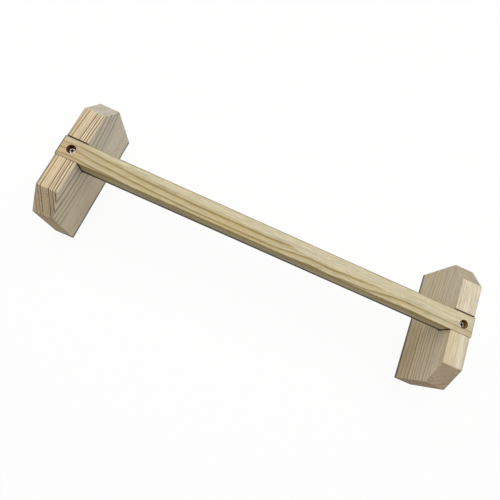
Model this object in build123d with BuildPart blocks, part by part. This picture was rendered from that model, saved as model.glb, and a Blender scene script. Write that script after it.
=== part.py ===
"""Low wooden exercise bar: a square grip bar housed in two upright foot blocks and held by a screw at each end.

Millimetres. The origin is on the floor under the middle of the bar, X runs along the bar, Y along the feet
and Z is up.
"""

import os
from math import radians, tan

from build123d import *

# Grip bar
BAR_LENGTH = 600.0
BAR_WIDTH = 29.0
BAR_HEIGHT = 29.0
BAR_EDGE_RADIUS = 0.9
BAR_END_RADIUS = 0.6
BAR_OVERHANG = 1.2

# Foot blocks
FOOT_LENGTH = 179.0
FOOT_HEIGHT = 117.0
FOOT_THICKNESS = 29.5
FOOT_CORNER_CUT = 29.0
FOOT_EDGE_RADIUS = 1.2

# Room beside the bar in the housing of a foot: the bar is pushed towards the near wall
HOUSING_NEAR_GAP = 0.2
HOUSING_FAR_GAP = 0.8

# Pan-head wood screws; the plain shank stops short of the foot, where the thread takes over
SCREW_LENGTH = 60.0
SCREW_HEAD_DIAMETER = 9.5
SCREW_HEAD_HEIGHT = 3.0
SCREW_CROWN_RADIUS = 1.6
SCREW_SHANK_DIAMETER = 4.0
SCREW_CORE_DIAMETER = 3.2
SCREW_SHANK_SETBACK = 2.0
SCREW_STEP_LENGTH = 1.0
SCREW_TIP_LENGTH = 6.0

# Where the screws stand, drilled by eye: outwards from the middle of each foot, and across the bar
LEFT_SCREW_OUTWARD = 0.4
RIGHT_SCREW_OUTWARD = 1.6
SCREW_LINE_Y = -0.6

# Cross recess in the screw heads, and how far each head was turned when it came tight
RECESS_SPAN = 5.6
RECESS_ARM_WIDTH = 1.6
RECESS_DEPTH = 2.2
RECESS_TAPER = 8.0
LEFT_SCREW_TURN = 24.0
RIGHT_SCREW_TURN = 8.0

# Holes for the screws
COUNTERBORE_DEPTH = 8.0
COUNTERBORE_CLEARANCE = 2.5
SHANK_CLEARANCE = 0.5
PILOT_CLEARANCE = 0.1
PILOT_SPARE_DEPTH = 2.0
DRILL_POINT_ANGLE = 118.0

# Places that follow from the sizes above
FOOT_MIDDLE_X = BAR_LENGTH / 2 - BAR_OVERHANG - FOOT_THICKNESS / 2
HOUSING_WIDTH = BAR_WIDTH + HOUSING_NEAR_GAP + HOUSING_FAR_GAP
HOUSING_MIDDLE_Y = (HOUSING_FAR_GAP - HOUSING_NEAR_GAP) / 2
BAR_UNDERSIDE_Z = FOOT_HEIGHT - BAR_HEIGHT
SCREW_SEAT_Z = FOOT_HEIGHT - COUNTERBORE_DEPTH
SCREW_TIP_Z = SCREW_SEAT_Z - SCREW_LENGTH
LEFT_SCREW_X = -FOOT_MIDDLE_X - LEFT_SCREW_OUTWARD
RIGHT_SCREW_X = FOOT_MIDDLE_X + RIGHT_SCREW_OUTWARD


def upright_plane(x, z):
    """A vertical plane that faces the near side, with its origin on the screw line at that height."""
    return Plane(origin=(x, SCREW_LINE_Y, z), x_dir=(1, 0, 0), z_dir=(0, -1, 0))


def screw_axis(x):
    """The upright axis of the screw at x."""
    return Axis((x, SCREW_LINE_Y, 0), (0, 0, 1))


def make_grip_bar():
    """The square bar, with a counterbored clearance hole over each foot."""
    with BuildPart() as grip_bar:
        with BuildSketch(Plane.YZ.offset(-BAR_LENGTH / 2)):
            with Locations((0, BAR_UNDERSIDE_Z)):
                Rectangle(BAR_WIDTH, BAR_HEIGHT, align=(Align.CENTER, Align.MIN))
        extrude(amount=BAR_LENGTH)
        fillet(grip_bar.edges().filter_by(Axis.X), BAR_EDGE_RADIUS)
        ends = grip_bar.faces().filter_by(Axis.X)
        fillet(ends.edges(), BAR_END_RADIUS)
        with Locations(Plane.XY.offset(FOOT_HEIGHT)):
            with Locations((LEFT_SCREW_X, SCREW_LINE_Y), (RIGHT_SCREW_X, SCREW_LINE_Y)):
                CounterBoreHole(
                    radius=(SCREW_SHANK_DIAMETER + SHANK_CLEARANCE) / 2,
                    counter_bore_radius=(SCREW_HEAD_DIAMETER + COUNTERBORE_CLEARANCE) / 2,
                    counter_bore_depth=COUNTERBORE_DEPTH,
                )
    return grip_bar.part


def make_foot(x, screw_x):
    """A foot block whose middle is at x: a slab with cut top corners, a housing for the bar and a pilot hole."""
    pilot_radius = (SCREW_CORE_DIAMETER + PILOT_CLEARANCE) / 2
    pilot_end_z = SCREW_TIP_Z - PILOT_SPARE_DEPTH
    pilot_depth = BAR_UNDERSIDE_Z - pilot_end_z
    point_depth = pilot_radius / tan(radians(DRILL_POINT_ANGLE / 2))
    with BuildPart() as foot:
        with BuildSketch(Plane.YZ.offset(x - FOOT_THICKNESS / 2)) as outline:
            Rectangle(FOOT_LENGTH, FOOT_HEIGHT, align=(Align.CENTER, Align.MIN))
            top_corners = outline.vertices().group_by(Axis.Y)[-1]
            chamfer(top_corners, FOOT_CORNER_CUT)
        extrude(amount=FOOT_THICKNESS)
        fillet(foot.edges(), FOOT_EDGE_RADIUS)
        with BuildSketch(Plane.YZ.offset(x - FOOT_THICKNESS / 2)):
            with Locations((HOUSING_MIDDLE_Y, BAR_UNDERSIDE_Z)):
                Rectangle(HOUSING_WIDTH, BAR_HEIGHT, align=(Align.CENTER, Align.MIN))
        extrude(amount=FOOT_THICKNESS, mode=Mode.SUBTRACT)
        with BuildSketch(upright_plane(screw_x, pilot_end_z)):
            with BuildLine():
                Polyline(
                    (0, -point_depth),
                    (pilot_radius, 0),
                    (pilot_radius, pilot_depth),
                    (0, pilot_depth),
                    close=True,
                )
            make_face()
        revolve(axis=screw_axis(screw_x), mode=Mode.SUBTRACT)
    return foot.part


def make_screw(x, turn):
    """A pan-head wood screw on the line at x: head, plain shank, threaded core and gimlet point."""
    head_radius = SCREW_HEAD_DIAMETER / 2
    shank_radius = SCREW_SHANK_DIAMETER / 2
    core_radius = SCREW_CORE_DIAMETER / 2
    shank_end = BAR_UNDERSIDE_Z + SCREW_SHANK_SETBACK + SCREW_STEP_LENGTH - SCREW_SEAT_Z
    with BuildPart() as screw:
        with BuildSketch(upright_plane(x, SCREW_SEAT_Z)):
            with BuildLine():
                Polyline(
                    (0, SCREW_HEAD_HEIGHT),
                    (0, -SCREW_LENGTH),
                    (core_radius, SCREW_TIP_LENGTH - SCREW_LENGTH),
                    (core_radius, shank_end - SCREW_STEP_LENGTH),
                    (shank_radius, shank_end),
                    (shank_radius, 0),
                    (head_radius, 0),
                    (head_radius, SCREW_HEAD_HEIGHT),
                    close=True,
                )
            make_face()
        revolve(axis=screw_axis(x))
        crown = screw.edges().filter_by(GeomType.CIRCLE).sort_by(Axis.Z)[-1]
        fillet(crown, SCREW_CROWN_RADIUS)
        with BuildSketch(Plane((x, SCREW_LINE_Y, SCREW_SEAT_Z + SCREW_HEAD_HEIGHT))):
            Rectangle(RECESS_SPAN, RECESS_ARM_WIDTH, rotation=turn)
            Rectangle(RECESS_ARM_WIDTH, RECESS_SPAN, rotation=turn)
        extrude(amount=-RECESS_DEPTH, taper=RECESS_TAPER, mode=Mode.SUBTRACT)
    return screw.part


def write(part, name):
    """Labels a finished piece and writes it as its own STEP file."""
    part.label = name
    export_step(part, f"parts/{name}.step")


os.makedirs("parts", exist_ok=True)
write(make_grip_bar(), "grip_bar")
write(make_foot(-FOOT_MIDDLE_X, LEFT_SCREW_X), "left_foot")
write(make_foot(FOOT_MIDDLE_X, RIGHT_SCREW_X), "right_foot")
write(make_screw(LEFT_SCREW_X, LEFT_SCREW_TURN), "left_screw")
write(make_screw(RIGHT_SCREW_X, RIGHT_SCREW_TURN), "right_screw")
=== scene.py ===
"""Looks of a low wooden exercise bar: three bare pine timbers and two sunk wood screws on a white floor.

Every place and size is in metres, in the frame of the solids: X along the bar, Y along the feet, Z up.
The grain of a timber is measured in millimetres.
"""

import logging
import math
from abc import ABC, abstractmethod
from collections.abc import Callable, Sequence
from dataclasses import dataclass
from enum import Enum
from functools import partial, reduce
from typing import Any, ClassVar

import bmesh
import bpy
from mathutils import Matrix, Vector

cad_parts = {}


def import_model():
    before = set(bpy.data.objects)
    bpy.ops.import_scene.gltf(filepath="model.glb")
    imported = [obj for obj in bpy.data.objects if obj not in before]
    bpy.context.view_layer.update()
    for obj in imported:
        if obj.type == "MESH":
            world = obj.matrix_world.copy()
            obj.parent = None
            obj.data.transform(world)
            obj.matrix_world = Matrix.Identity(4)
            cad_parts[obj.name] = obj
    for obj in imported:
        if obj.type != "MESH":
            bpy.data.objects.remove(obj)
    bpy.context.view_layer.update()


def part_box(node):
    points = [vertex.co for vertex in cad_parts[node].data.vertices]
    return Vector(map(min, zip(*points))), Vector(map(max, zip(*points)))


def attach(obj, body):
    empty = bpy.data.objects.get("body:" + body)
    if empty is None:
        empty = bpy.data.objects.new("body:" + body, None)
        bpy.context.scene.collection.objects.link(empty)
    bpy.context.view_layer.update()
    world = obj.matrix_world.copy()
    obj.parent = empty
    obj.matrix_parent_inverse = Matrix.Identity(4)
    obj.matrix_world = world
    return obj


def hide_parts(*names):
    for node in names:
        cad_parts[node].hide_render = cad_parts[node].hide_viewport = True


LOG = logging.getLogger("exercise_bar")
MM = 0.001
ROOT_BODY = "root"

# A direction at 45 degrees to two axes has this much of each
SLANT = math.sqrt(0.5)

# A face looks along an axis when its normal has more than this much of it
SQUARE_ON = 0.9

# Edges stay crisp where their faces turn by more than this angle
CRISP_ANGLE = math.radians(35.0)

# Edges of a foot block are eased where their faces turn by more than this angle
EASED_ANGLE = 0.3

# How nodes are laid out in their tree
NODES_IN_ROW = 9
NODE_WIDTH = 220
NODE_HEIGHT = 260

Colour = tuple[float, float, float, float]
Point = tuple[float, float, float]
Upright = tuple[float, float]
Pair = tuple[float, float]
Pairs = tuple[Pair, ...]
Piece = bpy.types.Object
Socket = bpy.types.NodeSocket


class Side(Enum):
    """An end of the bar, as the sign of its X."""

    LEFT = -1
    RIGHT = 1

    @property
    def word(self) -> str:
        """The end's name, as the solids use it."""
        return self.name.lower()


class Axis(Enum):
    """An axis of the frame, as its place in a vector."""

    X = 0
    Y = 1
    Z = 2


class Element(Enum):
    """What can be selected in a mesh, as the mesh calls it."""

    EDGE = "edges"
    FACE = "faces"


class Joining(Enum):
    """What a shape does to the piece that it meets."""

    CUT = "DIFFERENCE"
    ADD = "UNION"


class Course(Enum):
    """How a table runs between its pairs."""

    STRAIGHT = "LINEAR"
    CURVED = "CARDINAL"


class Blend(Enum):
    """How one colour meets another."""

    COVER = "MIX"
    FILTER = "MULTIPLY"


@dataclass(frozen=True)
class Box:
    """The box around a solid at rest."""

    low: Vector
    high: Vector

    @classmethod
    def of(cls, node: str) -> "Box":
        """Measures the solid of that name."""
        return cls(*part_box(node))

    @property
    def size(self) -> Vector:
        """The box's length along each axis."""
        return self.high - self.low

    @property
    def middle(self) -> Vector:
        """The box's middle."""
        return (self.low + self.high) / 2

    @property
    def upright(self) -> Upright:
        """The X and Y of the upright line through the box's middle."""
        return self.middle.x, self.middle.y


def screen(code: str) -> Colour:
    """Turns a screen colour into the light values that a shader takes.

    Args:
        code: Red, green and blue as six hexadecimal digits.

    Returns:
        The linear colour, opaque.
    """
    shares = [int(code[i : i + 2], 16) / 255 for i in (0, 2, 4)]
    red, green, blue = (s / 12.92 if s <= 0.04045 else ((s + 0.055) / 1.055) ** 2.4 for s in shares)
    return red, green, blue, 1.0


WHITE = screen("ffffff")
# Painted shade in the joints where the bar lies in the feet
JOINT_SHADE = screen("0a0604")
# Painted contact shade along the bottom of the feet
FLOOR_CONTACT_SHADE = screen("2a1f14")
# A darker line around the edges at the bar's ends
BAR_END_DARK = screen("2a1c0e")
# Painted shade along the bottom of the bar's sides
UNDER_SHADE = screen("20170e")
# A darker line along some outer edges of the timbers
EDGE_LINE_DARK = screen("4a3a22")
# Drill scorch in the sunk holes: painted in shade in the left hole and painted lit in the right one
SHADED_SCORCH = screen("5a2412")
LIT_SCORCH = screen("b08a34")
# Painted warm shade on the upper part of the bar's sides
WARM_FLANK_SHADE = screen("b89c52")
END_AMBER = screen("c98f4a")
RESIN = screen("5f4a30")
DUCT_BROWN = screen("6b4a2a")


def deselect_all() -> None:
    """Leaves edit mode and deselects every object."""
    if bpy.context.object is not None and bpy.context.object.mode != "OBJECT":
        bpy.ops.object.mode_set(mode="OBJECT")
    bpy.ops.object.select_all(action="DESELECT")


def focus(piece: Piece) -> None:
    """Makes one piece the only selected and the active object.

    Args:
        piece: The piece to work on.
    """
    deselect_all()
    piece.select_set(True)
    bpy.context.view_layer.objects.active = piece


def settle(name: str) -> Piece:
    """Names the active object and moves its place, turn and scale into its mesh.

    Args:
        name: The piece's name.

    Returns:
        The piece, with its object at the origin.
    """
    piece = bpy.context.active_object
    piece.name = name
    piece.data.name = name
    bpy.ops.object.transform_apply(location=True, rotation=True, scale=True)
    return piece


def block(name: str, size: Sequence[float], centre: Sequence[float]) -> Piece:
    """Adds a block.

    Args:
        name: The block's name.
        size: Its length along each axis.
        centre: Its middle.

    Returns:
        The block.
    """
    deselect_all()
    bpy.ops.mesh.primitive_cube_add(size=1.0, location=centre, scale=size)
    return settle(name)


def select(piece: Piece, element: Element, wanted: Callable[[Any], bool]) -> None:
    """Opens a piece in edit mode with only some of its edges or faces selected.

    Args:
        piece: The piece.
        element: Whether edges or faces are selected.
        wanted: Says whether one of them is.
    """
    focus(piece)
    bpy.ops.object.mode_set(mode="EDIT")
    bpy.ops.mesh.select_mode(type=element.name)
    bpy.ops.mesh.select_all(action="DESELECT")
    mesh = bmesh.from_edit_mesh(piece.data)
    mesh.normal_update()
    for part in getattr(mesh, element.value):
        part.select_set(wanted(part))
    bmesh.update_edit_mesh(piece.data)


def turned(name: str, axis: Upright, profile: Sequence[Pair], sides: int = 48) -> Piece:
    """Turns an upright round shape.

    Args:
        name: The shape's name.
        axis: Where its axis stands.
        profile: Heights with their radii from the top down. The first two radii are equal, and a last one
            of 0 ends the shape in a point.
        sides: How many flats its wall has.

    Returns:
        The shape.
    """
    (top, radius), (level, _), *rest = profile
    deselect_all()
    bpy.ops.mesh.primitive_cylinder_add(
        vertices=sides, radius=radius, depth=top - level, location=(*axis, (top + level) / 2)
    )
    piece = settle(name)
    select(piece, Element.FACE, lambda face: face.normal.z < -SQUARE_ON)
    for height, wanted in rest:
        bpy.ops.mesh.extrude_region_move(TRANSFORM_OT_translate={"value": (0.0, 0.0, height - level)})
        if wanted == 0.0:
            bpy.ops.mesh.merge(type="CENTER")
            break
        share = wanted / radius
        bpy.ops.transform.resize(value=(share, share, 1.0), center_override=(*axis, height))
        level, radius = height, wanted
    bpy.ops.object.mode_set(mode="OBJECT")
    return piece


def round_edges(piece: Piece, radius: float, steps: int, wanted: Callable[[Any], bool]) -> None:
    """Rounds some of a piece's edges.

    Args:
        piece: The piece.
        radius: The radius of the rounding.
        steps: How many flats make up the rounding.
        wanted: Says whether an edge is rounded.
    """
    select(piece, Element.EDGE, wanted)
    bpy.ops.mesh.bevel(offset=radius, offset_type="OFFSET", segments=steps, profile=0.5, affect="EDGES")
    bpy.ops.object.mode_set(mode="OBJECT")


def apply_modifier(piece: Piece, kind: str, **settings: Any) -> None:
    """Adds a modifier to a piece and applies it.

    Args:
        piece: The piece.
        kind: The modifier's type.
        settings: The modifier's own settings.
    """
    focus(piece)
    modifier = piece.modifiers.new(kind.lower(), kind)
    for key, value in settings.items():
        setattr(modifier, key, value)
    bpy.ops.object.modifier_apply(modifier=modifier.name)


def carve(piece: Piece, tool: Piece, joining: Joining = Joining.CUT) -> None:
    """Cuts a shape out of a piece, or adds it to the piece, and removes the shape."""
    apply_modifier(piece, "BOOLEAN", object=tool, operation=joining.value, solver="EXACT")
    bpy.data.objects.remove(tool, do_unlink=True)


def shade(piece: Piece) -> None:
    """Shades a piece smooth across its roundings and flat across its faces.

    Args:
        piece: The piece.
    """
    focus(piece)
    bpy.ops.object.shade_smooth_by_angle(angle=CRISP_ANGLE)
    apply_modifier(piece, "WEIGHTED_NORMAL", keep_sharp=True, weight=100)


def hand_over(piece: Piece, node: str, finish: bpy.types.Material) -> None:
    """Puts a finished piece in the place of its solid.

    Args:
        piece: The finished piece.
        node: The solid that it stands for.
        finish: Its material.
    """
    piece.data.materials.clear()
    piece.data.materials.append(finish)
    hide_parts(node)
    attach(piece, ROOT_BODY)
    LOG.info("%s stands for %s with %d faces", piece.name, node, len(piece.data.polygons))


class Wiring:
    """A node tree, with short ways to add nodes and join their sockets."""

    def __init__(self, tree: bpy.types.NodeTree) -> None:
        """Takes over an empty tree."""
        self.tree = tree
        self.count = 0

    @classmethod
    def of(cls, owner: bpy.types.ID) -> "Wiring":
        """Empties the nodes of a material or a world and takes them over.

        Args:
            owner: The material or the world.

        Returns:
            The wiring of its nodes.
        """
        owner.use_nodes = True
        owner.node_tree.nodes.clear()
        return cls(owner.node_tree)

    def wire(self, kind: str, inputs: dict[Any, Any], **settings: Any) -> Any:
        """Adds a node.

        Args:
            kind: The node's type.
            inputs: An output to link or a plain value for each input, by the input's name or place.
            settings: The node's own settings.

        Returns:
            The node's outputs.
        """
        node = self.tree.nodes.new(kind)
        row, column = divmod(self.count, NODES_IN_ROW)
        node.location = (NODE_WIDTH * column, -NODE_HEIGHT * row)
        self.count += 1
        for key, value in settings.items():
            setattr(node, key, value)
        for key, value in inputs.items():
            if isinstance(value, Socket):
                self.tree.links.new(value, node.inputs[key])
            else:
                node.inputs[key].default_value = value
        return node.outputs

    def math(self, operation: str, *terms: Any) -> Socket:
        """Adds a Math node, whose inputs are given in order."""
        return self.wire("ShaderNodeMath", dict(enumerate(terms)), operation=operation)[0]

    def plus(self, *terms: Any) -> Socket:
        """Adds up its terms."""
        return reduce(partial(self.math, "ADD"), terms)

    def minus(self, value: Any, less: Any) -> Socket:
        """Takes one value from another."""
        return self.math("SUBTRACT", value, less)

    def times(self, *terms: Any) -> Socket:
        """Multiplies its terms."""
        return reduce(partial(self.math, "MULTIPLY"), terms)

    def linear(self, value: Any, slope: Any, base: Any) -> Socket:
        """Works out the base plus the slope times the value."""
        return self.math("MULTIPLY_ADD", value, slope, base)

    def most(self, *terms: Any) -> Socket:
        """Takes the largest of its terms."""
        return reduce(partial(self.math, "MAXIMUM"), terms)

    def bare(self, value: Any) -> Socket:
        """Drops the sign of a value."""
        return self.math("ABSOLUTE", value)

    def length(self, x: Any, y: Any) -> Socket:
        """Measures a flat vector."""
        return self.math("SQRT", self.plus(self.times(x, x), self.times(y, y)))

    def vector(self, operation: str, first: Any, second: Any) -> Socket:
        """Adds a Vector Math node for a vector and a second vector or a scale."""
        inputs = {0: first, ("Scale" if operation == "SCALE" else 1): second}
        return self.wire("ShaderNodeVectorMath", inputs, operation=operation)[0]

    def mix(self, share: Any, first: Any, second: Any, blend: Blend = Blend.COVER) -> Socket:
        """Mixes a share of a second colour into a first one."""
        inputs = {0: share, 6: first, 7: second}
        return self.wire("ShaderNodeMix", inputs, data_type="RGBA", blend_type=blend.value)[2]

    def split(self, vector: Any) -> tuple[Socket, ...]:
        """Splits a vector into its X, Y and Z."""
        return tuple(self.wire("ShaderNodeSeparateXYZ", {0: vector}))

    def join(self, x: Any, y: Any, z: Any) -> Socket:
        """Puts a vector together."""
        return self.wire("ShaderNodeCombineXYZ", {0: x, 1: y, 2: z})[0]

    def stretch(self, place: Any, along: float, across: float) -> Socket:
        """Scales a place so that these lengths along and across the fibres become one unit."""
        return self.vector("MULTIPLY", place, (1 / along, 1 / across, 1 / across))

    def noise(self, place: Any, seed: Any, detail: float = 2.0, rough: float = 0.5) -> Socket:
        """Adds a Noise Texture of one cell to a unit, with finer layers of that number and strength."""
        inputs = {"Vector": place, "W": seed, "Scale": 1.0, "Detail": detail, "Roughness": rough}
        return self.wire("ShaderNodeTexNoise", inputs, noise_dimensions="4D")[0]

    def swing(self, noise: Any, reach: Any) -> Socket:
        """Turns a noise into a value that swings about zero, by the reach for a noise of 0 or 1."""
        return self.times(self.linear(noise, 2.0, -1.0), reach)

    def window(self, value: Any, low: float, high: float) -> Socket:
        """Steps smoothly from 0 where the value is low to 1 where it is high."""
        inputs = {"Value": value, "From Min": low, "From Max": high}
        return self.wire("ShaderNodeMapRange", inputs, interpolation_type="SMOOTHSTEP")[0]

    def reach(self, place: Any, axis: Upright) -> Socket:
        """Measures how far a place lies from the upright line at that X and Y."""
        x, y, _ = self.split(place)
        return self.length(self.minus(x, axis[0]), self.minus(y, axis[1]))

    def ramp(self, value: Any, stops: Sequence[Pair], course: Course = Course.STRAIGHT) -> Socket:
        """Adds a Color Ramp of greys.

        Args:
            value: Where the ramp is read, from 0 to 1.
            stops: Each stop's place and grey.
            course: How the ramp runs between its stops.

        Returns:
            The grey.
        """
        grey = self.wire("ShaderNodeValToRGB", {0: value})[0]
        ramp = grey.node.color_ramp
        ramp.interpolation = course.value
        while len(ramp.elements) > 1:
            ramp.elements.remove(ramp.elements[-1])
        for index, (place, level) in enumerate(stops):
            element = ramp.elements[0] if index == 0 else ramp.elements.new(place)
            element.position = place
            element.color = (level, level, level, 1.0)
        return grey

    def table(self, value: Any, pairs: Pairs, course: Course = Course.STRAIGHT) -> Socket:
        """Looks a value up in a table.

        Args:
            value: The value to look up.
            pairs: Each value of the table with its result, in rising order of the value.
            course: How the result runs between two pairs.

        Returns:
            The result.
        """
        start, end = pairs[0][0], pairs[-1][0]
        results = [result for _, result in pairs]
        floor, span = min(results), max(max(results) - min(results), 1e-6)
        share = self.math("DIVIDE", self.minus(value, start), end - start)
        stops = [((place - start) / (end - start), (result - floor) / span) for place, result in pairs]
        return self.linear(self.ramp(share, stops, course), span, floor)

    def skin(self, height: Any, strength: float, depth: float, inputs: dict[str, Any]) -> None:
        """Ends a material with a bumped surface.

        Args:
            height: The height of its bumps.
            strength: How strongly the bumps show.
            depth: How deep they are.
            inputs: What goes into its shader.
        """
        bump = self.wire("ShaderNodeBump", {"Strength": strength, "Distance": depth, "Height": height})
        shader = self.wire("ShaderNodeBsdfPrincipled", {"Normal": bump[0], **inputs})
        self.wire("ShaderNodeOutputMaterial", {"Surface": shader[0]})


@dataclass(frozen=True)
class Mottle:
    """Chance patches in a timber.

    Attributes:
        along: Their length along the fibres in mm.
        across: Their width in mm.
        reach: How far they lighten and darken the wood or, for the ripple, move a ring in mm.
        detail: How many finer layers they have.
        rough: How strong the finer layers are.
    """

    along: float
    across: float
    reach: float
    detail: float = 2.0
    rough: float = 0.5

    def noise(self, w: Wiring, place: Socket, seed: Socket) -> Socket:
        """Finds the patches, about 0.5 on average."""
        return w.noise(w.stretch(place, self.along, self.across), seed, self.detail, self.rough)


FIBRES = Mottle(9.0, 0.22, 0.3, rough=0.6)
STREAKS = Mottle(60.0, 1.8, 0.6, detail=3.0, rough=0.6)
FLECKS = Mottle(15.0, 1.3, 0.38, rough=0.6)
CLOUDS = Mottle(110.0, 16.0, 0.25)
RIPPLE = Mottle(30.0, 4.0, 0.3)

# How wide the slow waves of the rings are across the fibres in mm
WAVE_WIDTH = 60.0

# Resin ducts: the length and width in mm that each has to itself, and how much of their colour shows
DUCT_LENGTH = 14.0
DUCT_SPACING = 1.5
DUCT_SHARE = 0.35

# The length and width in mm of the places on eased edges that are painted lighter, as wear and as a painted
# highlight
WEAR_AND_HIGHLIGHT_LENGTH = 18.0
WEAR_AND_HIGHLIGHT_WIDTH = 6.0

# How much of each colour shows where it is fullest
END_GRAIN_SHARE = 0.85
STREAK_SHARE = 0.22
CLOUD_SHARE = 0.3
WEAR_AND_HIGHLIGHT_SHARE = 0.2

# The strength of the late wood in the weakest year, and how much more the strongest has
WEAK_YEAR = 0.85
YEAR_LUCK = 0.25

# How strongly the relief of the grain and of the scratches in zinc shows, and how deep it is
GRAIN_RELIEF = (0.35, 0.15 * MM)
SCRATCH_RELIEF = (0.2, 0.03 * MM)

# How late wood, and the warmth before it, come and go over a ring, whose last LATE_SHARE is late wood
LATE_SHARE = 0.3
LATE_WOOD = ((0.0, 0.4), (0.07, 0.0), (0.66, 0.0), (0.78, 0.7), (0.86, 1.0), (0.95, 1.0), (1.0, 0.4))
AGEING = ((0.0, 0.0), (0.35, 0.35), (0.7, 0.9), (0.97, 1.0), (1.0, 0.0))


@dataclass(frozen=True)
class ShaderGroup:
    """A shader group that the timbers share.

    Attributes:
        plan: Wires the group from its wiring and its inputs and says what goes into each output. The group
            has its name.
        inputs: The names of its inputs, by their type.
        outputs: The names of its outputs, by their type.
    """

    plan: Callable[[Wiring, Any], dict[str, Any]]
    inputs: dict[str, tuple[str, ...]]
    outputs: dict[str, tuple[str, ...]]

    def use(self, w: Wiring, inputs: dict[str, Any]) -> Any:
        """Adds the group to a material, fed with these inputs, and gives its outputs."""
        tree = bpy.data.node_groups.get(self.plan.__name__) or self._build()
        return w.wire("ShaderNodeGroup", inputs, node_tree=tree)

    def _build(self) -> bpy.types.NodeTree:
        """Builds the group.

        Returns:
            Its node tree.
        """
        tree = bpy.data.node_groups.new(self.plan.__name__, "ShaderNodeTree")
        for way, kinds in (("INPUT", self.inputs), ("OUTPUT", self.outputs)):
            for kind, labels in kinds.items():
                for label in labels:
                    tree.interface.new_socket(label, in_out=way, socket_type=f"NodeSocket{kind}")
        w = Wiring(tree)
        w.wire("NodeGroupOutput", self.plan(w, w.wire("NodeGroupInput", {})))
        return tree


def growth_rings(w: Wiring, given: Any) -> dict[str, Any]:
    """Measures how far a point lies from the tree's heart, along rings that wander.

    Args:
        w: The group's wiring.
        given: The group's inputs.

    Returns:
        What goes into its outputs.
    """
    place, seed = given["Place"], given["Seed"]
    _, side, up = w.split(w.vector("SUBTRACT", place, given["Heart"]))
    slow = w.vector("DIVIDE", place, w.join(given["Wave Length"], WAVE_WIDTH, WAVE_WIDTH))
    wave = w.swing(w.noise(slow, seed, 1.0, 0.4), given["Wave Height"])
    ripple = w.swing(RIPPLE.noise(w, place, seed), RIPPLE.reach)
    return {"Heart Distance": w.plus(w.length(side, up), wave, ripple)}


def pine_figure(w: Wiring, given: Any) -> dict[str, Any]:
    """Colours pine from its ring count: late wood, fibres, resin ducts and mottling.

    Args:
        w: The group's wiring.
        given: The group's inputs.

    Returns:
        What goes into its outputs.
    """
    place, seed, end_grain = given["Place"], given["Seed"], given["End Grain"]
    year, ring = (w.math(part, given["Ring Count"]) for part in ("FRACT", "FLOOR"))
    luck = w.wire("ShaderNodeTexWhiteNoise", {"W": w.plus(ring, seed)}, noise_dimensions="1D")["Value"]
    late = w.times(w.ramp(year, LATE_WOOD), given["Vigour"], w.linear(luck, YEAR_LUCK, WEAK_YEAR))
    mottling = {mottle: mottle.noise(w, place, seed) for mottle in (FIBRES, STREAKS, FLECKS, CLOUDS)}
    streaks = mottling[STREAKS]
    duct_place = w.stretch(place, DUCT_LENGTH, DUCT_SPACING)
    cells = w.wire("ShaderNodeTexVoronoi", {"Vector": duct_place, "Scale": 1.0})
    ducts = w.times(w.window(cells["Distance"], 0.16, 0.05), DUCT_SHARE)

    ageing = w.times(w.ramp(year, AGEING), given["Year Shade"], given["Vigour"])
    warmth = w.plus(ageing, given["Warmth"], w.times(w.window(mottling[CLOUDS], 0.45, 0.72), CLOUD_SHARE))
    colour = w.mix(warmth, given["Early Wood"], given["Warm Wood"])
    colour = w.mix(w.times(end_grain, END_GRAIN_SHARE), colour, given["End Wood"])
    colour = w.mix(late, colour, given["Late Wood"])
    colour = w.mix(w.times(w.window(streaks, 0.5, 0.8), STREAK_SHARE), colour, given["Late Wood"])
    colour = w.mix(w.times(ducts, w.plus(late, 0.25)), colour, DUCT_BROWN)
    light = w.plus(1.0, *(w.swing(noise, mottle.reach) for mottle, noise in mottling.items()))
    rough = w.plus(w.linear(late, -0.1, given["Roughness"]), w.swing(streaks, 0.06))
    return {
        "Color": w.vector("SCALE", colour, light),
        "Roughness": w.linear(end_grain, 0.4, rough),
        "Height": w.linear(late, 0.5, w.times(mottling[FIBRES], 0.6)),
    }


def eased_edge(w: Wiring, given: Any) -> dict[str, Any]:
    """Finds the places on the eased edges of a timber that are painted lighter: wear, and a painted highlight
    where the rounding catches the light.

    Args:
        w: The group's wiring.
        given: The group's inputs.

    Returns:
        What goes into its outputs.
    """
    x, y, z = w.split(given["Facing"])
    slopes = w.plus(y, z), w.minus(y, z)
    corners = [w.times(w.bare(slope), SLANT, given["Cut Corners"]) for slope in slopes]
    turned_away = w.window(w.most(w.bare(x), w.bare(y), w.bare(z), *corners), 0.997, 0.93)
    patches = w.noise(w.stretch(given["Place"], WEAR_AND_HIGHLIGHT_LENGTH, WEAR_AND_HIGHLIGHT_WIDTH), given["Seed"])
    return {"Rubbed": w.times(turned_away, w.window(patches, 0.25, 0.65))}


GROWTH_RINGS = ShaderGroup(
    growth_rings,
    {"Vector": ("Place", "Heart"), "Float": ("Wave Height", "Wave Length", "Seed")},
    {"Float": ("Heart Distance",)},
)
PINE_FIGURE = ShaderGroup(
    pine_figure,
    {
        "Vector": ("Place",),
        "Float": ("Ring Count", "Vigour", "Warmth", "Year Shade", "End Grain", "Roughness", "Seed"),
        "Color": ("Early Wood", "Late Wood", "Warm Wood", "End Wood"),
    },
    {"Color": ("Color",), "Float": ("Roughness", "Height")},
)
EASED_EDGE = ShaderGroup(
    eased_edge, {"Vector": ("Facing", "Place"), "Float": ("Cut Corners", "Seed")}, {"Float": ("Rubbed",)}
)


@dataclass(frozen=True)
class Spot:
    """A point on a piece, as its material sees it.

    Attributes:
        w: The material's wiring.
        place: Where the point is, in metres.
        facing: The direction that the surface faces there.
    """

    w: Wiring
    place: Socket
    facing: Socket

    def at(self, axis: Axis) -> Socket:
        """Where the point is on an axis."""
        return self.w.split(self.place)[axis.value]

    def turn(self, axis: Axis) -> Socket:
        """How far the surface faces along an axis, from -1 to 1."""
        return self.w.split(self.facing)[axis.value]

    def looks(self, axis: Axis) -> Socket:
        """1 where the surface looks along an axis, either way, and 0 elsewhere."""
        return self.w.window(self.w.bare(self.turn(axis)), 0.75, 0.95)


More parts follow.
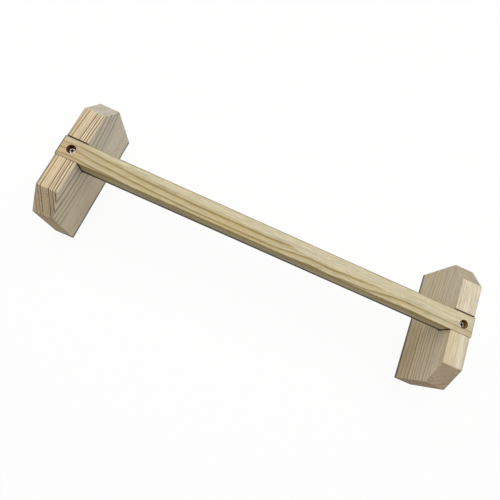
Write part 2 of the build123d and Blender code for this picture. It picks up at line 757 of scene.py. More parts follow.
@dataclass(frozen=True)
class Mark(ABC):
    """Something that changes a timber's colour in one place.

    Attributes:
        colour: The colour that it leaves.
        strength: How much of that colour shows where the mark is fullest.
    """

    colour: Colour
    strength: float
    blend: ClassVar[Blend] = Blend.COVER

    @abstractmethod
    def mask(self, spot: Spot) -> Socket:
        """Finds how full the mark is at a point, from 0 to 1."""

    def over(self, spot: Spot, colour: Any) -> Socket:
        """Lays the mark over a colour."""
        share = spot.w.times(self.mask(spot), self.strength)
        return spot.w.mix(share, colour, self.colour, self.blend)


@dataclass(frozen=True)
class DrilledWall(Mark):
    """The wall of a sunk hole, scorched by the drill and darkened with painted shade, least at its rim."""

    axis: Upright
    radius: float
    top: float
    rim_share: ClassVar[float] = 0.3

    def mask(self, spot: Spot) -> Socket:
        """Finds the wall and floor of the hole.

        Args:
            spot: A point on the piece.

        Returns:
            How full the mark is there, from 0 to 1.
        """
        w = spot.w
        inside = w.window(w.reach(spot.place, self.axis), self.radius + 0.5 * MM, self.radius - 0.1 * MM)
        below = w.window(spot.at(Axis.Z), self.top + 0.2 * MM, self.top - 0.9 * MM)
        return w.times(inside, w.linear(below, 1.0 - self.rim_share, self.rim_share))


@dataclass(frozen=True)
class Border(Mark):
    """A darker band along one side of a timber, on the faces that meet that side.

    Attributes:
        axis: The axis that the side faces along.
        plane: Where the side lies on that axis.
        full: The width that is fully dark.
        width: The width at which the dirt ends.
        only: The axis that the dirty faces look along, or nothing for all of them.
    """

    axis: Axis
    plane: float
    full: float
    width: float
    only: Axis | None = None
    scuffs: ClassVar[float] = 0.03 / MM

    def mask(self, spot: Spot) -> Socket:
        """Finds the border, which has an uneven inner edge.

        Args:
            spot: A point on the piece.

        Returns:
            How full the mark is there, from 0 to 1.
        """
        w = spot.w
        scuffs = w.noise(w.vector("SCALE", spot.place, self.scuffs), 5.0, 4.0, 0.65)
        off = w.plus(w.bare(w.minus(spot.at(self.axis), self.plane)), w.swing(scuffs, 0.25 * self.width))
        met = w.window(w.bare(spot.turn(self.axis)), 0.98, 0.88)
        if self.only:
            met = w.times(met, spot.looks(self.only))
        return w.times(met, w.window(off, self.width, self.full))


@dataclass(frozen=True)
class Cast(Mark):
    """A change of tone along a timber, used for the wood's own tone and for painted light.

    Attributes:
        axis: The axis along which the tone changes.
        start: Where the change starts.
        end: Where it is full.
        only: The axis that the changed faces look along, or nothing for all of them.
    """

    axis: Axis
    start: float
    end: float
    only: Axis | None = None

    def mask(self, spot: Spot) -> Socket:
        """Finds how far the tone has changed."""
        changed = spot.w.window(spot.at(self.axis), self.start, self.end)
        return spot.w.times(changed, spot.looks(self.only)) if self.only else changed


@dataclass(frozen=True)
class Tint(Mark):
    """A tint of the faces that look along one axis, used as painted light."""

    axis: Axis
    blend: ClassVar[Blend] = Blend.FILTER

    def mask(self, spot: Spot) -> Socket:
        """Finds those faces."""
        return spot.looks(self.axis)


@dataclass(frozen=True)
class HousedEnd(Mark):
    """The sides of the bar where they enter the feet, darkened with painted shade in the joint."""

    inner: float
    width: float

    def mask(self, spot: Spot) -> Socket:
        """Finds the housed lengths of the bar, but for its top face and its ends.

        Args:
            spot: A point on the piece.

        Returns:
            How full the mark is there, from 0 to 1.
        """
        w = spot.w
        entered = w.window(w.bare(spot.at(Axis.X)), self.inner - self.width, self.inner - 0.3 * self.width)
        hidden = w.minus(w.window(spot.turn(Axis.Z), 0.6, 0.2), spot.looks(Axis.X))
        return w.times(entered, w.most(hidden, 0.0))


@dataclass(frozen=True)
class HousingWall(Mark):
    """The walls of a foot's housing and the line where the bar enters it, darkened with painted shade in the
    joint.
    """

    near: float
    far: float
    floor: float
    width: float
    # On top the painted shade is weakest at the near wall and strongest at the far wall, which faces away
    # from the light
    near_share: ClassVar[float] = 0.4
    far_share: ClassVar[float] = 0.95

    def mask(self, spot: Spot) -> Socket:
        """Finds the walls, and a line around them that is weakest on top at the near wall.

        Args:
            spot: A point on the piece.

        Returns:
            How full the mark is there, from 0 to 1.
        """
        w = spot.w
        _, y, z = w.split(spot.place)
        across = w.bare(w.minus(y, (self.near + self.far) / 2))
        beyond = w.most(w.minus(across, (self.far - self.near) / 2), w.minus(self.floor, z))
        walls = w.window(beyond, 0.25 * MM, 0.05 * MM)
        farness = w.window(y, self.near, self.far)
        on_top = w.linear(farness, self.far_share - self.near_share, self.near_share)
        shown = w.most(spot.looks(Axis.X), on_top)
        return w.most(walls, w.times(w.window(beyond, self.width, 0.4 * self.width), shown))


@dataclass(frozen=True)
class ResinStreak(Mark):
    """A streak of resin that runs in from the near end of the left foot, on its inner face."""

    start: float
    height: float
    width: float
    lead: ClassVar[float] = 12 * MM

    def mask(self, spot: Spot) -> Socket:
        """Finds the streak.

        Args:
            spot: A point on the piece.

        Returns:
            How full the mark is there, from 0 to 1.
        """
        w = spot.w
        begun = w.window(spot.at(Axis.Y), self.start, self.start - self.lead)
        core = w.window(w.bare(w.minus(spot.at(Axis.Z), self.height)), self.width, 0.0)
        return w.times(w.window(spot.turn(Axis.X), 0.9, 0.99), begun, core)


@dataclass(frozen=True)
class SawnEnd:
    """The sawn end of a timber.

    Attributes:
        colour: The colour of the end grain between its late wood.
        figure: How strongly the late wood shows there.
    """

    colour: Colour
    figure: float = 1.0


@dataclass(frozen=True)
class PineFinish:
    """Bare planed pine: how one timber was sawn from its tree, and its colours.

    Lengths are in mm. Distances are from the tree's heart.

    Attributes:
        name: The material's name.
        grain: The axis that the fibres run along.
        heart: Where the tree's heart lies in the timber's cross-section, sideways and up.
        rings: Distances with the number of the ring that is reached there.
        drift: Places along the timber with the length that the rings have moved towards the heart there.
        vigour: Distances with the strength of the late wood there.
        warmth: Distances with the share of the warm colour there.
        year_shade: How warm a year's wood turns before its late wood.
        early: The colour of the wood grown in spring.
        late: The colour of the wood grown in summer.
        warm: The colour of the warmer wood.
        wave: How far the rings wander.
        wave_length: The length of a wave along the timber.
        seed: Picks this timber's chance marks.
        sheen: How strongly the planed surface mirrors the room.
        ends: The sawn ends at the lower and the higher end of the grain's axis.
        roughness: How rough the planed surface is between its late wood lines.
        side_figure: How strongly the late wood shows on the faces to the sides.
        calm: Places along the timber with the strength of the late wood there, or nothing.
        fade: Heights between which the late wood fades out downwards, or nothing.
        sapwood: Places along the timber with the sideways place where the pale, even sapwood starts, or
            nothing.
        cut_corners: Whether the timber has corners cut at 45 degrees.
    """

    name: str
    grain: Axis
    heart: tuple[float, float]
    rings: Pairs
    drift: Pairs
    vigour: Pairs
    warmth: Pairs
    year_shade: float
    early: Colour
    late: Colour
    warm: Colour
    wave: float
    wave_length: float
    seed: float
    sheen: float
    ends: tuple[SawnEnd, SawnEnd]
    roughness: float = 0.54
    side_figure: float = 1.0
    calm: Pairs = ()
    fade: tuple[float, float] | None = None
    sapwood: Pairs = ()
    cut_corners: bool = False
    sapwood_edge: ClassVar[float] = 1.5
    faded_share: ClassVar[float] = 0.15

    def material(self, marks: Sequence[Mark]) -> bpy.types.Material:
        """Builds the finish.

        Args:
            marks: What changes the timber's colour in places.

        Returns:
            The material.
        """
        material = bpy.data.materials.new(self.name)
        w = Wiring.of(material)
        coords = w.wire("ShaderNodeTexCoord", {})
        spot = Spot(w, coords["Object"], coords["Normal"])
        lengthways, sideways = (Axis.X, Axis.Y) if self.grain is Axis.X else (Axis.Y, Axis.X)
        millimetres = w.split(w.vector("SCALE", spot.place, 1 / MM))
        along, side, up = (millimetres[axis.value] for axis in (lengthways, sideways, Axis.Z))
        place = w.join(along, side, up)
        lively = self._liveliness(w, along, side, up)
        distance = self._heart_distance(w, place, along)

        low, high = self.ends
        end_grain = w.window(w.bare(spot.turn(lengthways)), 0.3, 0.65)
        high_end = w.window(spot.turn(lengthways), -0.1, 0.1)
        sawn = w.linear(end_grain, w.linear(high_end, high.figure - low.figure, low.figure - 1.0), 1.0)
        flank = w.linear(w.window(w.bare(spot.turn(sideways)), 0.5, 0.9), self.side_figure - 1.0, 1.0)
        figure = PINE_FIGURE.use(
            w,
            {
                "Place": place,
                "Ring Count": w.table(distance, self.rings),
                "Vigour": w.times(w.table(distance, self.vigour), lively, sawn, flank),
                "Warmth": w.times(w.table(distance, self.warmth), lively),
                "Year Shade": self.year_shade,
                "Early Wood": self.early,
                "Late Wood": self.late,
                "Warm Wood": self.warm,
                "End Wood": w.mix(high_end, low.colour, high.colour),
                "End Grain": end_grain,
                "Roughness": self.roughness,
                "Seed": self.seed,
            },
        )
        inputs = {"Facing": spot.facing, "Place": place, "Seed": self.seed}
        wear_and_highlight = EASED_EDGE.use(w, {**inputs, "Cut Corners": float(self.cut_corners)})["Rubbed"]
        # Eased edges painted lighter: wear, and a painted highlight
        colour = w.mix(w.times(wear_and_highlight, WEAR_AND_HIGHLIGHT_SHARE), figure["Color"], self.early)
        for mark in marks:
            colour = mark.over(spot, colour)
        surface = {"Specular IOR Level": self.sheen, "Base Color": colour, "Roughness": figure["Roughness"]}
        w.skin(figure["Height"], *GRAIN_RELIEF, surface)
        return material

    def _liveliness(self, w: Wiring, along: Socket, side: Socket, up: Socket) -> Any:
        """Finds where the timber is plainer than its rings alone would make it.

        Args:
            w: The material's wiring.
            along: The place along the fibres.
            side: The place sideways.
            up: The height.

        Returns:
            The strength of the rings there, from 0 to 1.
        """
        shares: list[Any] = [1.0]
        if self.sapwood:
            past = w.minus(side, w.table(along, self.sapwood, Course.CURVED))
            shares.append(w.window(past, self.sapwood_edge, -self.sapwood_edge))
        if self.calm:
            shares.append(w.table(along, self.calm))
        if self.fade:
            shares.append(w.linear(w.window(up, *self.fade), 1.0 - self.faded_share, self.faded_share))
        return w.times(*shares)

    def _heart_distance(self, w: Wiring, place: Socket, along: Socket) -> Socket:
        """Measures how far a point lies from the heart, as the growth rings run.

        Args:
            w: The material's wiring.
            place: The point in the grain's frame.
            along: Its place along the timber.

        Returns:
            The distance in mm.
        """
        inputs = {"Place": place, "Heart": (0.0, *self.heart), "Seed": self.seed}
        rings = GROWTH_RINGS.use(w, {**inputs, "Wave Height": self.wave, "Wave Length": self.wave_length})
        return w.plus(rings[0], w.table(along, self.drift, Course.CURVED))


@dataclass(frozen=True)
class ZincFinish:
    """Bright zinc plating on steel, painted near-black in the recess and outside the bright middle of the
    head, as grime and painted shade.
    """

    name: str
    axis: Upright
    head_top: float
    recess_depth: float
    recess_reach: float
    clean_reach: float
    bright: Colour = screen("d3c6c1")
    dull: Colour = screen("b3a6a0")
    grime: Colour = screen("0e0908")

    def material(self) -> bpy.types.Material:
        """Builds the finish.

        Returns:
            The material.
        """
        material = bpy.data.materials.new(self.name)
        w = Wiring.of(material)
        place = w.wire("ShaderNodeTexCoord", {})["Object"]
        millimetres = w.vector("SCALE", place, 1 / MM)
        patches = w.noise(millimetres, 3.0, 4.0, 0.6)
        scratches = w.noise(w.stretch(millimetres, 3.0, 0.3), 8.0)
        plating = w.mix(w.window(patches, 0.4, 0.75), self.bright, self.dull)

        # Grime and painted shade: the recess, and the head outside its bright middle, turn near-black and
        # lose their metal
        z, reach = w.split(place)[Axis.Z.value], w.reach(place, self.axis)
        recess_floor = self.head_top - self.recess_depth
        in_head = w.window(z, recess_floor - MM, recess_floor - 0.5 * MM)
        sunk = w.window(z, self.head_top - 0.04 * MM, self.head_top - 0.2 * MM)
        recess = w.times(sunk, w.math("LESS_THAN", reach, self.recess_reach))
        ragged_reach = w.plus(reach, w.swing(patches, 2.0 * MM))
        rim = w.times(w.window(ragged_reach, self.clean_reach - 0.3 * MM, self.clean_reach + 0.3 * MM), 0.85)
        grime = w.times(in_head, w.most(recess, rim))
        surface = {
            "Metallic": w.minus(1.0, grime),
            "Base Color": w.mix(grime, plating, self.grime),
            "Roughness": w.linear(grime, 0.4, w.plus(0.34, w.swing(scratches, 0.1))),
        }
        w.skin(scratches, *SCRATCH_RELIEF, surface)
        return material


@dataclass
class GripBar:
    """The square bar that the hands close around, with a sunk screw hole near each end."""

    box: Box
    holes: tuple[Upright, Upright]
    joint: float
    edge_radius: float = 0.0009
    edge_steps: int = 5
    end_radius: float = 0.0006
    end_steps: int = 3
    sink_radius: float = 0.006
    sink_depth: float = 0.008
    rim_radius: float = 0.00025
    shank_radius: float = 0.00225

    def build(self) -> Piece:
        """Planes, rounds and drills the bar.

        Returns:
            The bar.
        """
        length = self.box.size.x - 2 * self.end_radius
        bar = block("bar_timber", (length, self.box.size.y, self.box.size.z), self.box.middle)
        round_edges(bar, self.edge_radius, self.edge_steps, lambda edge: edge.calc_length() > 0.9 * length)
        for side in Side:
            self._round_end(bar, side)
        for hole in self.holes:
            self._drill(bar, hole)
        shade(bar)
        return bar

    def _round_end(self, bar: Piece, side: Side) -> None:
        """Draws one end of the bar out to its full length, in a quarter circle.

        Args:
            bar: The bar.
            side: Which end.
        """
        select(bar, Element.FACE, lambda face: face.normal.x * side.value > SQUARE_ON)
        inset, reach = 0.0, 0.0
        for step in range(1, self.end_steps + 1):
            angle = math.pi / 2 * step / self.end_steps
            next_inset, next_reach = 1.0 - math.cos(angle), math.sin(angle)
            bpy.ops.mesh.inset(
                thickness=(next_inset - inset) * self.end_radius, depth=(next_reach - reach) * self.end_radius
            )
            inset, reach = next_inset, next_reach
        bpy.ops.object.mode_set(mode="OBJECT")

    def _drill(self, bar: Piece, hole: Upright) -> None:
        """Drills one sunk screw hole through the bar, with a broken rim.

        Args:
            bar: The bar.
            hole: Where the hole is.
        """
        spare = 2 * MM
        top, under = self.box.high.z, self.box.low.z
        shank = [(top + spare, self.shank_radius), (under - spare, self.shank_radius)]
        carve(bar, turned("shank_drill", hole, shank, 32))
        rim, radius = self.rim_radius, self.sink_radius
        sink = [
            (top + spare, radius + rim),
            (top, radius + rim),
            (top - 0.3 * rim, radius + 0.3 * rim),
            (top - rim, radius),
            (top - self.sink_depth, radius),
        ]
        carve(bar, turned("sink_drill", hole, sink, 64))

    def dress(self, bar: Piece, finish: PineFinish) -> None:
        """Gives the bar its wood and puts it in the place of its solid.

        Args:
            bar: The bar.
            finish: Its wood.
        """
        left, right = self.holes
        low, high = self.box.low, self.box.high
        marks = (
            # Painted warm shade: the upper part of the bar's sides tinted darker and more golden
            Cast(WARM_FLANK_SHADE, 0.7, Axis.Z, start=high.z - 12 * MM, end=high.z - 5 * MM, only=Axis.Y),
            Cast(END_AMBER, 0.2, Axis.X, start=low.x + 50 * MM, end=low.x + 17 * MM),
            # Painted shade, darker towards the underside of the bar's sides
            Border(UNDER_SHADE, 0.92, Axis.Z, low.z, full=5.5 * MM, width=9 * MM, only=Axis.Y),
            # A darker line along the far edges of the bar
            Border(EDGE_LINE_DARK, 0.45, Axis.Y, high.y, full=0.8 * MM, width=2.2 * MM),
            # A darker line around the edges at each end of the bar
            Border(BAR_END_DARK, 0.8, Axis.X, low.x, full=0.8 * MM, width=1.8 * MM),
            Border(BAR_END_DARK, 0.6, Axis.X, high.x, full=0.5 * MM, width=1.4 * MM),
            # Painted shade where the bar enters the feet
            HousedEnd(JOINT_SHADE, 0.95, self.joint, width=2.2 * MM),
            # Scorch in the holes, painted in shade on the left and painted lit on the right
            DrilledWall(SHADED_SCORCH, 0.85, left, self.sink_radius, high.z),
            DrilledWall(LIT_SCORCH, 0.85, right, self.sink_radius, high.z),
        )
        hand_over(bar, "grip_bar", finish.material(marks))


@dataclass
class FootBlock:
    """An upright block with cut top corners that carries one end of the bar in a housing."""

    side: Side
    box: Box
    bar: Box
    screw: Box
    corner_cut: float = 0.029
    edge_radius: float = 0.0012
    edge_steps: int = 4
    near_gap: float = 0.0002
    far_gap: float = 0.0008
    pilot_radius: float = 0.00165
    pilot_spare: float = 0.002
    pilot_point: float = 0.001

    @property
    def walls(self) -> tuple[float, float]:
        """The Y of the housing's near and far walls."""
        return self.bar.low.y - self.near_gap, self.bar.high.y + self.far_gap

    def build(self) -> Piece:
        """Saws, eases, notches and drills the block.

        Returns:
            The block.
        """
        foot = block(f"{self.side.word}_foot_timber", self.box.size, self.box.middle)
        for way in (-1, 1):
            self._cut_corner(foot, way)
        round_edges(
            foot, self.edge_radius, self.edge_steps, lambda edge: edge.calc_face_angle(0.0) > EASED_ANGLE
        )
        carve(foot, self._housing())
        self._drill_pilot(foot)
        shade(foot)
        return foot

    def _cut_corner(self, foot: Piece, way: int) -> None:
        """Saws off one top corner.

        Args:
            foot: The block.
            way: The sign of Y at that corner.
        """
        select(foot, Element.FACE, lambda _: True)
        bpy.ops.mesh.bisect(
            plane_co=(self.box.middle.x, way * (self.box.high.y - self.corner_cut), self.box.high.z),
            plane_no=(0.0, way * SLANT, SLANT),
            use_fill=True,
            clear_outer=True,
        )
        bpy.ops.object.mode_set(mode="OBJECT")

    def _housing(self) -> Piece:
        """Makes the shape that is sawn out for the bar.

        Returns:
            The shape.
        """
        near, far = self.walls
        size = (self.box.size.x * 1.5, far - near, self.bar.size.z * 2)
        return block("housing_saw", size, (self.box.middle.x, (near + far) / 2, self.bar.high.z))

    def _drill_pilot(self, foot: Piece) -> None:
        """Drills the screw's pilot hole down from the housing, with the drill's point at its end.

        Args:
            foot: The block.
        """
        end = self.screw.low.z - self.pilot_spare
        start, radius = self.bar.high.z, self.pilot_radius
        drill = [(start, radius), (end, radius), (end - self.pilot_point, 0.0)]
        carve(foot, turned("pilot_drill", self.screw.upright, drill, 32))

    def dress(self, foot: Piece, finish: PineFinish) -> None:
        """Gives the block its wood and puts it in the place of its solid.

        Args:
            foot: The block.
            finish: Its wood.
        """
        low, high = self.box.low, self.box.high
        # Where the painted sheen on the side faces comes in, from near to far
        sheen_span = (-10 * MM, 30 * MM)
        marks: list[Mark] = [
            # Painted contact shade along the bottom of the foot
            Border(FLOOR_CONTACT_SHADE, 0.8, Axis.Z, low.z, full=4.5 * MM, width=8 * MM),
            # Painted shade in the housing and along the joint
            HousingWall(JOINT_SHADE, 0.95, *self.walls, self.bar.low.z, width=1 * MM),
        ]
        if self.side is Side.LEFT:
            marks += [
                # Painted light: the faces looking up and down tinted warmer, as a warm light from above would
                # leave them
                Tint(screen("fff8ef"), 1.0, Axis.Z),
                # Painted sheen: the far half of the side faces paler and cooler
                Cast(screen("ebfbfa"), 0.15, Axis.Y, *sheen_span, only=Axis.X),
                # A darker line along the outer edges
                Border(EDGE_LINE_DARK, 0.6, Axis.X, low.x, full=0.8 * MM, width=1.5 * MM),
                ResinStreak(RESIN, 0.45, start=-60 * MM, height=62.2 * MM, width=2.6 * MM),
            ]
        else:
            marks += [
                # Painted sheen: the far half of the side faces paler
                Cast(screen("dcd8cc"), 0.12, Axis.Y, *sheen_span, only=Axis.X),
                # A darker line along the outer edges
                Border(EDGE_LINE_DARK, 0.2, Axis.X, high.x, full=0.6 * MM, width=1.8 * MM),
            ]
        hand_over(foot, f"{self.side.word}_foot", finish.material(marks))


@dataclass
class WoodScrew:
    """A pan-head wood screw with a cross recess and a coarse thread, sunk in the bar."""

    side: Side
    box: Box
    joint: float
    turn: float
    head_height: float = 0.003
    crown_radius: float = 0.0016
    crown_steps: int = 6
    shank_radius: float = 0.002
    shank_setback: float = 0.002
    step_length: float = 0.001
    core_radius: float = 0.0016
    point_length: float = 0.006
    thread_radius: float = 0.0025
    thread_pitch: float = 0.0024
    thread_steps: int = 20
    recess_span: float = 0.0062
    recess_arm: float = 0.0023
    recess_depth: float = 0.0022
    recess_taper: tuple[float, float] = (0.55, 0.6)
    recess_grime: float = 0.55
    ridge_share: float = 0.8
    ridge_flatness: float = 0.7
    thread_setback: float = 0.0008
    plain_tip: float = 0.0012
    tip_share: float = 0.12

    @property
    def core_start(self) -> float:
        """The height where the thinner, threaded core starts."""
        return self.joint + self.shank_setback

    @property
    def core_end(self) -> float:
        """The height where the core runs into the point."""
        return self.box.low.z + self.point_length

    def build(self) -> Piece:
        """Forms the head, shank, core and point, stamps the recess and rolls the thread.

        Returns:
            The screw.
        """
        top, seat = self.box.high.z, self.box.high.z - self.head_height
        head_radius = self.box.size.x / 2
        profile = [
            (top, head_radius),
            (seat, head_radius),
            (seat, self.shank_radius),
            (self.core_start + self.step_length, self.shank_radius),
            (self.core_start, self.core_radius),
            (self.core_end, self.core_radius),
            (self.box.low.z, 0.0),
        ]
        screw = turned(f"{self.side.word}_wood_screw", self.box.upright, profile)
        crown = top - 0.01 * MM
        round_edges(
            screw,
            self.crown_radius,
            self.crown_steps,
            lambda edge: all(end.co.z > crown for end in edge.verts),
        )
        for quarter in (0.0, 90.0):
            carve(screw, self._recess_blade(self.turn + quarter))
        carve(screw, self._thread(), Joining.ADD)
        shade(screw)
        return screw

    def _recess_blade(self, degrees: float) -> Piece:
        """Makes one tapered blade of the punch that stamps the cross recess.

        Args:
            degrees: How far the blade is turned about the screw.

        Returns:
            The blade.
        """
        spare = 0.5 * MM
        middle = (*self.box.upright, self.box.high.z + (spare - self.recess_depth) / 2)
        blade = block("recess_blade", (self.recess_span, self.recess_arm, self.recess_depth + spare), middle)
        select(blade, Element.FACE, lambda face: face.normal.z < -SQUARE_ON)
        bpy.ops.transform.resize(value=(*self.recess_taper, 1.0), center_override=middle)
        bpy.ops.mesh.select_all(action="SELECT")
        bpy.ops.transform.rotate(value=-math.radians(degrees), orient_axis="Z", center_override=middle)
        bpy.ops.object.mode_set(mode="OBJECT")
        return blade

    def _thread(self) -> Piece:
        """Rolls the thread: a ridge wound down the core, thinning out along the point.

        Returns:
            The ridge.
        """
        ridge_radius = self.ridge_share * (self.thread_radius - self.core_radius)
        tip = self.box.low.z
        start = self.core_start - self.thread_setback
        deselect_all()
        bpy.ops.mesh.primitive_circle_add(
            vertices=3,
            radius=ridge_radius,
            location=(self.thread_radius - ridge_radius, 0.0, start),
            rotation=(math.pi / 2, math.pi / 2, 0.0),
            scale=(self.ridge_flatness, 1.0, 1.0),
        )
        ridge = settle("thread_ridge")
        apply_modifier(
            ridge,
            "SCREW",
            axis="Z",
            angle=math.tau,
            screw_offset=-self.thread_pitch,
            iterations=int((start - tip - self.plain_tip) / self.thread_pitch),
            steps=self.thread_steps,
            render_steps=self.thread_steps,
        )
        for vertex in ridge.data.vertices:
            across = math.hypot(vertex.co.x, vertex.co.y)
            taper = min(1.0, max(self.tip_share, (vertex.co.z - tip) / (self.core_end - tip)))
            lead = min(1.0, max(0.0, (start - vertex.co.z) / self.thread_pitch))
            proud = max(0.0, across - self.core_radius)
            share = (across - proud + proud * lead) * taper / across
            vertex.co.x = vertex.co.x * share + self.box.middle.x
            vertex.co.y = vertex.co.y * share + self.box.middle.y
        select(ridge, Element.FACE, lambda _: True)
        bpy.ops.mesh.fill_holes(sides=4)
        bpy.ops.mesh.normals_make_consistent(inside=False)
        bpy.ops.object.mode_set(mode="OBJECT")
        return ridge

    def plating(self, clean_reach: float) -> ZincFinish:
        """Chooses the screw's plating.

        Args:
            clean_reach: How far from the axis the head stays bright, before its grime and painted shade.

        Returns:
            The plating.
        """
        reaches = self.recess_grime * self.recess_span, clean_reach
        name, top = f"{self.side.word}_screw_zinc", self.box.high.z
        return ZincFinish(name, self.box.upright, top, self.recess_depth, *reaches)

    def dress(self, screw: Piece, finish: ZincFinish) -> None:
        """Gives the screw its plating and puts it in the place of its solid."""
        hand_over(screw, f"{self.side.word}_screw", finish.material())


@dataclass
class Studio:
    """A white floor, a soft light from above and behind, and the camera that looks down across the bar."""

    eye: Point = (-0.0331, -0.16653, 0.61339)
    tilt: Point = (14.494, -9.251, 22.365)
    lens: float = 28.514
    sensor: float = 36.0
    shift: tuple[float, float] = (-0.02547, -0.00742)
    floor_size: float = 8.0
    floor_gap: float = 0.0002
    floor_glow: float = 0.94
    floor_bounce: Colour = screen("c6c0b2")
    sky: float = 0.3
    lit_point: Point = (0.0, 0.0, 0.05)

    def build(self) -> None:
        """Sets up the floor, the sky, the lamps and the camera."""
        self._floor()
        self._sky()
        self._lamp("overhead_softbox", place=(0.05, 0.45, 1.4), size=1.5, watts=15.8, colour=screen("fffcf5"))
        self._lamp("left_fill", place=(-1.5, 0.5, 0.9), size=1.2, watts=3.5, colour=WHITE)
        self._camera()
        bpy.context.scene.view_settings.view_transform = "Standard"

    def _shown_rays(self, w: Wiring) -> Socket:
        """Finds the camera, glossy and transmission rays, which show a surface."""
        path = w.wire("ShaderNodeLightPath", {})
        return w.most(*(path[f"Is {kind} Ray"] for kind in ("Camera", "Glossy", "Transmission")))

    def _floor(self) -> None:
        """Lays a floor that shows white with the bar's shadow on it, a hair under the feet."""
        deselect_all()
        bpy.ops.mesh.primitive_plane_add(size=self.floor_size, location=(0.0, 0.0, -self.floor_gap))
        floor = settle("studio_floor")
        material = bpy.data.materials.new("studio_paper")
        w = Wiring.of(material)
        shown = self._shown_rays(w)
        paper = w.wire("ShaderNodeBsdfDiffuse", {"Color": w.mix(shown, self.floor_bounce, WHITE)})
        glow = w.wire("ShaderNodeEmission", {"Strength": 1.0})
        both = w.wire("ShaderNodeMixShader", {0: w.times(shown, self.floor_glow), 1: paper[0], 2: glow[0]})
        w.wire("ShaderNodeOutputMaterial", {"Surface": both[0]})
        floor.data.materials.append(material)

    def _sky(self) -> None:
        """Fills the room with a weak even light that shows white."""
        world = bpy.data.worlds.new("studio_sky")
        w = Wiring.of(world)
        strength = w.linear(self._shown_rays(w), 1.0 - self.sky, self.sky)
        background = w.wire("ShaderNodeBackground", {"Color": WHITE, "Strength": strength})
        w.wire("ShaderNodeOutputWorld", {"Surface": background[0]})
        bpy.context.scene.world = world

    def _lamp(self, name: str, place: Point, size: float, watts: float, colour: Colour) -> None:
        """Hangs a square soft lamp that faces the bar.

        Args:
            name: The lamp's name.
            place: Where it hangs.
            size: The length of its side.
            watts: Its power.
            colour: Its colour.
        """
        data = bpy.data.lights.new(name, "AREA")
        data.shape = "SQUARE"
        data.size = size
        data.energy = watts
        data.color = colour[:3]
        lamp = bpy.data.objects.new(name, data)
        lamp.location = place
        lamp.rotation_euler = (Vector(self.lit_point) - Vector(place)).to_track_quat("-Z", "Y").to_euler()
        bpy.context.scene.collection.objects.link(lamp)

    def _camera(self) -> None:
        """Places the camera above the near side of the bar."""
        data = bpy.data.cameras.new("photo_camera")
        data.sensor_fit = "HORIZONTAL"
        data.sensor_width = self.sensor
        data.lens = self.lens
        data.shift_x, data.shift_y = self.shift
        data.clip_start = 0.01
        camera = bpy.data.objects.new("photo_camera", data)
        camera.location = self.eye
        camera.rotation_euler = [math.radians(angle) for angle in self.tilt]
        bpy.context.scene.collection.objects.link(camera)
        bpy.context.scene.camera = camera


def late_rings(late: float, *edges: float) -> Pairs:
    """Numbers a row of growth rings whose late wood is equally wide.

    Args:
        late: The width of the late wood in mm.
        edges: The distances from the heart at which the rings end, in mm.

    Returns:
        Distances from the heart with the number of the ring that is reached there.
    """
    pairs: list[Pair] = []
    for number, edge in enumerate(edges, 1):
        pairs += [(edge - late, number - LATE_SHARE), (edge, float(number))]
    return tuple(pairs)


BAR_PINE = PineFinish(
    name="bar_pine",
    grain=Axis.X,
    heart=(-160.0, 80.0),
    rings=late_rings(2.6, 114.0, 122.5, 130.8, 139.0, 147.2, 155.6, 164.2, 198.0),
    drift=(
        *((-300.0, -7.2), (-285.0, -8.4), (-275.0, -8.8), (-260.0, -7.3), (-245.0, -5.8), (-220.0, -4.4)),
        *((-180.0, -1.9), (-150.0, -1.0), (-100.0, 0.3), (0.0, 0.0), (20.0, -1.5), (50.0, -4.4)),
        *((65.0, -4.9), (88.0, -3.6), (105.0, -5.0), (140.0, -6.3), (170.0, -10.2), (205.0, -12.6)),
        *((260.0, -11.2), (300.0, -10.7)),
    ),
    vigour=((110.0, 0.9), (200.0, 0.9)),
    warmth=((110.0, 0.3), (200.0, 0.3)),
    year_shade=0.6,
    early=screen("d7cdb0"),
    late=screen("97865a"),
    warm=screen("bdaa7b"),
    wave=0.8,
    wave_length=150.0,
    seed=11.0,
    sheen=0.08,
    ends=(SawnEnd(screen("bfae84")), SawnEnd(screen("bfae84"))),
    side_figure=0.4,
    calm=(
        *((-300.0, 0.6), (-265.0, 0.7), (-230.0, 1.0), (80.0, 1.0), (130.0, 0.82)),
        *((180.0, 0.95), (205.0, 0.95), (240.0, 0.52), (300.0, 0.45)),
    ),
    sapwood=(
        *((-300.0, 6.5), (-260.0, 8.5), (-150.0, 6.5), (0.0, 1.8)),
        *((25.0, 1.8), (45.0, -1.5), (60.0, -2.0), (300.0, -2.5)),
    ),
)

LEFT_FOOT_PINE = PineFinish(
    name="left_foot_pine",
    grain=Axis.Y,
    heart=(-852.0, -69.0),
    rings=late_rings(
        1.35,
        *(559.0, 567.0, 574.5, 581.5, 585.9, 589.5, 592.6, 595.2),
        *(597.9, 600.0, 602.5, 605.1, 608.5, 611.3, 615.0),
    ),
    drift=(
        *((-89.0, -1.0), (-55.0, -0.2), (0.0, 0.0), (15.0, -0.3)),
        *((38.0, -1.1), (57.0, -2.0), (70.0, -2.9), (89.0, -4.2)),
    ),
    vigour=(
        *((556.0, 0.45), (584.0, 0.7), (589.5, 0.9), (590.0, 0.22), (595.4, 0.22)),
        *((596.5, 0.35), (598.0, 0.35), (598.3, 1.0), (600.0, 1.0), (600.5, 0.6)),
        *((602.6, 0.6), (603.2, 1.0), (608.6, 1.0), (609.4, 0.15), (615.0, 0.15)),
    ),
    warmth=((556.0, 0.35), (590.0, 0.3), (591.5, 0.0), (615.0, 0.0)),
    year_shade=0.05,
    early=screen("e7dac2"),
    late=screen("5a4018"),
    warm=screen("c9b287"),
    wave=0.2,
    wave_length=90.0,
    seed=23.0,
    sheen=0.25,
    # The far sawn end is pale grey and nearly plain: a painted sheen from the light behind it
    ends=(SawnEnd(screen("d2bd9c")), SawnEnd(screen("c9c2b6"), 0.2)),
    roughness=0.42,
    side_figure=0.68,
    fade=(52.0, 88.0),
    cut_corners=True,
)

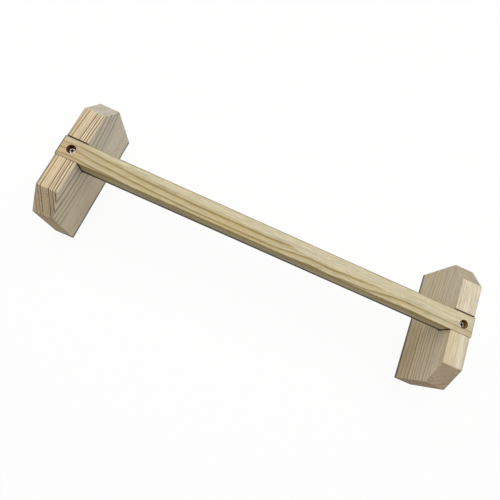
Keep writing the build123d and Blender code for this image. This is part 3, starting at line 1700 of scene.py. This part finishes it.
RIGHT_FOOT_PINE = PineFinish(
    name="right_foot_pine",
    grain=Axis.Y,
    heart=(430.0, -160.0),
    rings=late_rings(
        1.8,
        *(223.0, 232.5, 240.9, 250.3, 258.0, 265.5, 270.7, 276.4),
        *(282.1, 286.2, 290.8, 296.6, 302.1, 308.1, 313.8, 319.0),
    ),
    drift=((-89.0, 1.0), (-50.0, 0.0), (-30.0, -0.4), (15.0, -2.5), (60.0, -5.6), (89.0, -8.0)),
    vigour=(
        *((222.0, 0.25), (232.0, 0.4), (241.0, 0.5), (250.0, 0.65), (256.0, 1.0)),
        *((258.0, 1.0), (260.0, 0.6), (282.0, 0.55), (284.0, 0.2), (286.2, 0.2)),
        *((288.0, 0.75), (291.0, 0.75), (297.0, 0.35), (303.0, 0.15), (319.0, 0.12)),
    ),
    warmth=(
        *((230.0, 0.6), (250.0, 0.5), (262.0, 0.15), (285.0, 0.1)),
        *((300.0, 0.04), (311.0, 0.04), (315.0, 0.3), (321.0, 0.35)),
    ),
    year_shade=0.25,
    early=screen("e9ddc5"),
    late=screen("7a5f33"),
    warm=screen("c9b485"),
    wave=0.3,
    wave_length=120.0,
    seed=37.0,
    sheen=0.3,
    ends=(SawnEnd(screen("c1ad92"), 0.45), SawnEnd(screen("b0a68f"), 0.25)),
    calm=((-89.0, 1.0), (-10.0, 1.0), (30.0, 0.55), (89.0, 0.45)),
    cut_corners=True,
)

FOOT_PINES = {Side.LEFT: LEFT_FOOT_PINE, Side.RIGHT: RIGHT_FOOT_PINE}

# How many degrees each screw was turned when it came tight, and how far from its axis its head stays bright
# before it is painted dark with grime and painted shade
SCREW_TURNS = {Side.LEFT: 24.0, Side.RIGHT: 8.0}
BRIGHT_REACHES = {Side.LEFT: 6 * MM, Side.RIGHT: 3 * MM}


def main() -> None:
    """Builds the bar, the feet and the screws around the frame of the solids, and sets up the studio."""
    logging.basicConfig(level=logging.INFO, format="%(name)s: %(message)s")
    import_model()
    bar_box = Box.of("grip_bar")
    foot_boxes = {side: Box.of(f"{side.word}_foot") for side in Side}
    screw_boxes = {side: Box.of(f"{side.word}_screw") for side in Side}
    holes = screw_boxes[Side.LEFT].upright, screw_boxes[Side.RIGHT].upright

    bar = GripBar(bar_box, holes, foot_boxes[Side.RIGHT].low.x)
    bar.dress(bar.build(), BAR_PINE)
    for side in Side:
        foot = FootBlock(side, foot_boxes[side], bar_box, screw_boxes[side])
        foot.dress(foot.build(), FOOT_PINES[side])
        screw = WoodScrew(side, screw_boxes[side], bar_box.low.z, SCREW_TURNS[side])
        screw.dress(screw.build(), screw.plating(BRIGHT_REACHES[side]))
    Studio().build()


if __name__ == "__main__":
    main()
